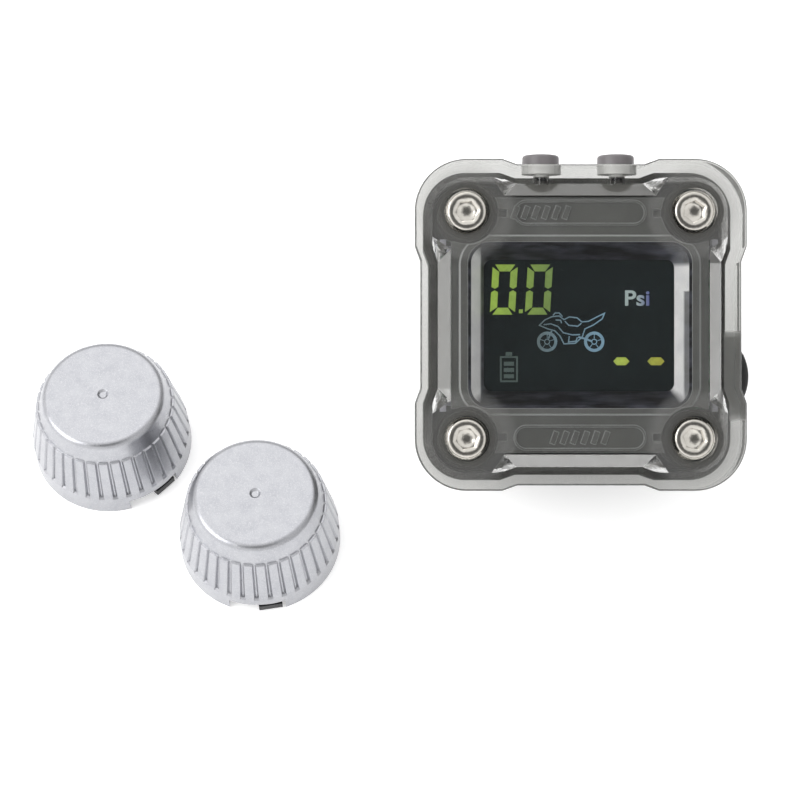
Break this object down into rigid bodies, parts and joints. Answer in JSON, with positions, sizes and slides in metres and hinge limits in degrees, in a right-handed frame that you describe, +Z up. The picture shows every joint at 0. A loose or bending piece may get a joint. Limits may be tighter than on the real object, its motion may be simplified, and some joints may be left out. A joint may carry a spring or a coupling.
{
  "type": "tire pressure monitor",
  "caption": "Tilting square receiver with clear front cover and colour display on a handlebar bracket, with ribbed valve-cap tyre sensors that open.",
  "frame": {"origin": "under the middle of the whole set's box, on the surface it stands on", "axes": "+X from the sensors towards the receiver, +Y away from the reader, +Z up; the receiver's face looks up and towards -Y"},
  "size_m": [0.1258, 0.0654, 0.0541],
  "materials": {
    "smoke_clear": "clear smoke-tinted moulded plastic, polished",
    "black_rubber": "matte black rubber",
    "grey_silicone": "grey silicone rubber",
    "black_plastic": "fine-grained black moulded plastic",
    "stainless_steel": "bright turned stainless steel",
    "brass": "machined brass",
    "panel_plastic": "satin dark grey plastic",
    "bright_trim": "bright plated bevel",
    "display_glass": "black glass of a colour display",
    "white_diffuser": "white light guide",
    "pale_plastic": "pale grey moulded plastic",
    "circuit_board": "green solder mask on glass fibre",
    "chip_resin": "black moulding resin",
    "shield_can": "tinned steel can",
    "copper_wire": "enamelled copper wire",
    "battery_foil": "aluminium pouch foil",
    "button_plastic": "satin mid-grey plastic",
    "spring_steel": "spring steel",
    "silver_paint": "fine-flake silver paint on moulded plastic"
  },
  "bodies": {
    "bracket": {"bracket_base": "black_plastic", "saddle_pad": "black_rubber", "hinge_bolt": "stainless_steel", "hinge_nut": "stainless_steel"},
    "receiver": {"front_cover": "smoke_clear", "cover_gasket": "grey_silicone", "rear_housing": "panel_plastic", "case_screws": "stainless_steel", "screw_washers": "stainless_steel", "thread_inserts": "brass", "face_panel": "panel_plastic", "display_trim": "bright_trim", "display_panel": "display_glass", "display_backlight": "white_diffuser", "display_holder": "pale_plastic", "main_board": "circuit_board", "board_screws": "stainless_steel", "control_chip": "chip_resin", "rf_module": "shield_can", "antenna_coil": "copper_wire", "buzzer": "chip_resin", "charge_board": "circuit_board", "usb_port": "shield_can", "battery": "battery_foil", "tact_switch_left": "chip_resin", "tact_switch_right": "chip_resin", "button_spring_left": "spring_steel", "button_spring_right": "spring_steel", "port_plug_pin": "stainless_steel", "bracket_plate": "black_plastic", "plate_screws": "stainless_steel"},
    "plug": {"port_plug": "black_rubber"},
    "button_left": {"button_left": "button_plastic", "button_clip_left": "spring_steel", "button_seal_left": "black_rubber"},
    "button_right": {"button_right": "button_plastic", "button_clip_right": "spring_steel", "button_seal_right": "black_rubber"},
    "front_sensor": {"front_sensor_base": "black_plastic", "front_valve_insert": "brass", "front_valve_seal": "black_rubber", "front_valve_pin": "brass", "front_circuit_board": "circuit_board", "front_pressure_chip": "chip_resin", "front_coin_cell": "stainless_steel", "front_cell_clip": "spring_steel"},
    "front_seal": {"front_cover_seal": "black_rubber"},
    "front_cap": {"front_sensor_cover": "silver_paint"},
    "rear_sensor": {"rear_sensor_base": "black_plastic", "rear_valve_insert": "brass", "rear_valve_seal": "black_rubber", "rear_valve_pin": "brass", "rear_circuit_board": "circuit_board", "rear_pressure_chip": "chip_resin", "rear_coin_cell": "stainless_steel", "rear_cell_clip": "spring_steel"},
    "rear_seal": {"rear_cover_seal": "black_rubber"},
    "rear_cap": {"rear_sensor_cover": "silver_paint"}
  },
  "joints": [
    {"name": "receiver_tilt", "type": "hinge", "parent": "bracket", "child": "receiver", "pos_m": [0.03297, 0.01356, 0.018], "axis": [1, 0, 0], "range_deg": [-25, 20]},
    {"name": "plug_swing", "type": "hinge", "parent": "receiver", "child": "plug", "pos_m": [0.06007, 0.00637, 0.02505], "axis": [0, -0.5, 0.866], "range_deg": [0, 110]},
    {"name": "button_left_press", "type": "slide", "parent": "receiver", "child": "button_left", "axis": [0, -0.866, -0.5], "range_m": [0, 0.0008], "stiffness_N_per_m": 800, "springref_m": -0.0004, "deforming": ["button_spring_left"]},
    {"name": "button_right_press", "type": "slide", "parent": "receiver", "child": "button_right", "axis": [0, -0.866, -0.5], "range_m": [0, 0.0008], "stiffness_N_per_m": 800, "springref_m": -0.0004, "deforming": ["button_spring_right"]},
    {"name": "front_sensor_lift", "type": "slide", "parent": "bracket", "child": "front_sensor", "axis": [0, 0, 1], "range_m": [0, 0.03]},
    {"name": "front_cover_lift", "type": "slide", "parent": "front_sensor", "child": "front_seal", "axis": [0, 0, 1], "range_m": [0, 0.014]},
    {"name": "front_cover_turn", "type": "hinge", "parent": "front_seal", "child": "front_cap", "pos_m": [-0.02157, -0.01866, 0], "axis": [0, 0, 1], "range_deg": [0, 20]},
    {"name": "rear_sensor_lift", "type": "slide", "parent": "bracket", "child": "rear_sensor", "axis": [0, 0, 1], "range_m": [0, 0.03]},
    {"name": "rear_cover_lift", "type": "slide", "parent": "rear_sensor", "child": "rear_seal", "axis": [0, 0, 1], "range_m": [0, 0.014]},
    {"name": "rear_cover_turn", "type": "hinge", "parent": "rear_seal", "child": "rear_cap", "pos_m": [-0.04877, 0.00084, 0], "axis": [0, 0, 1], "range_deg": [0, 20]}
  ]
}
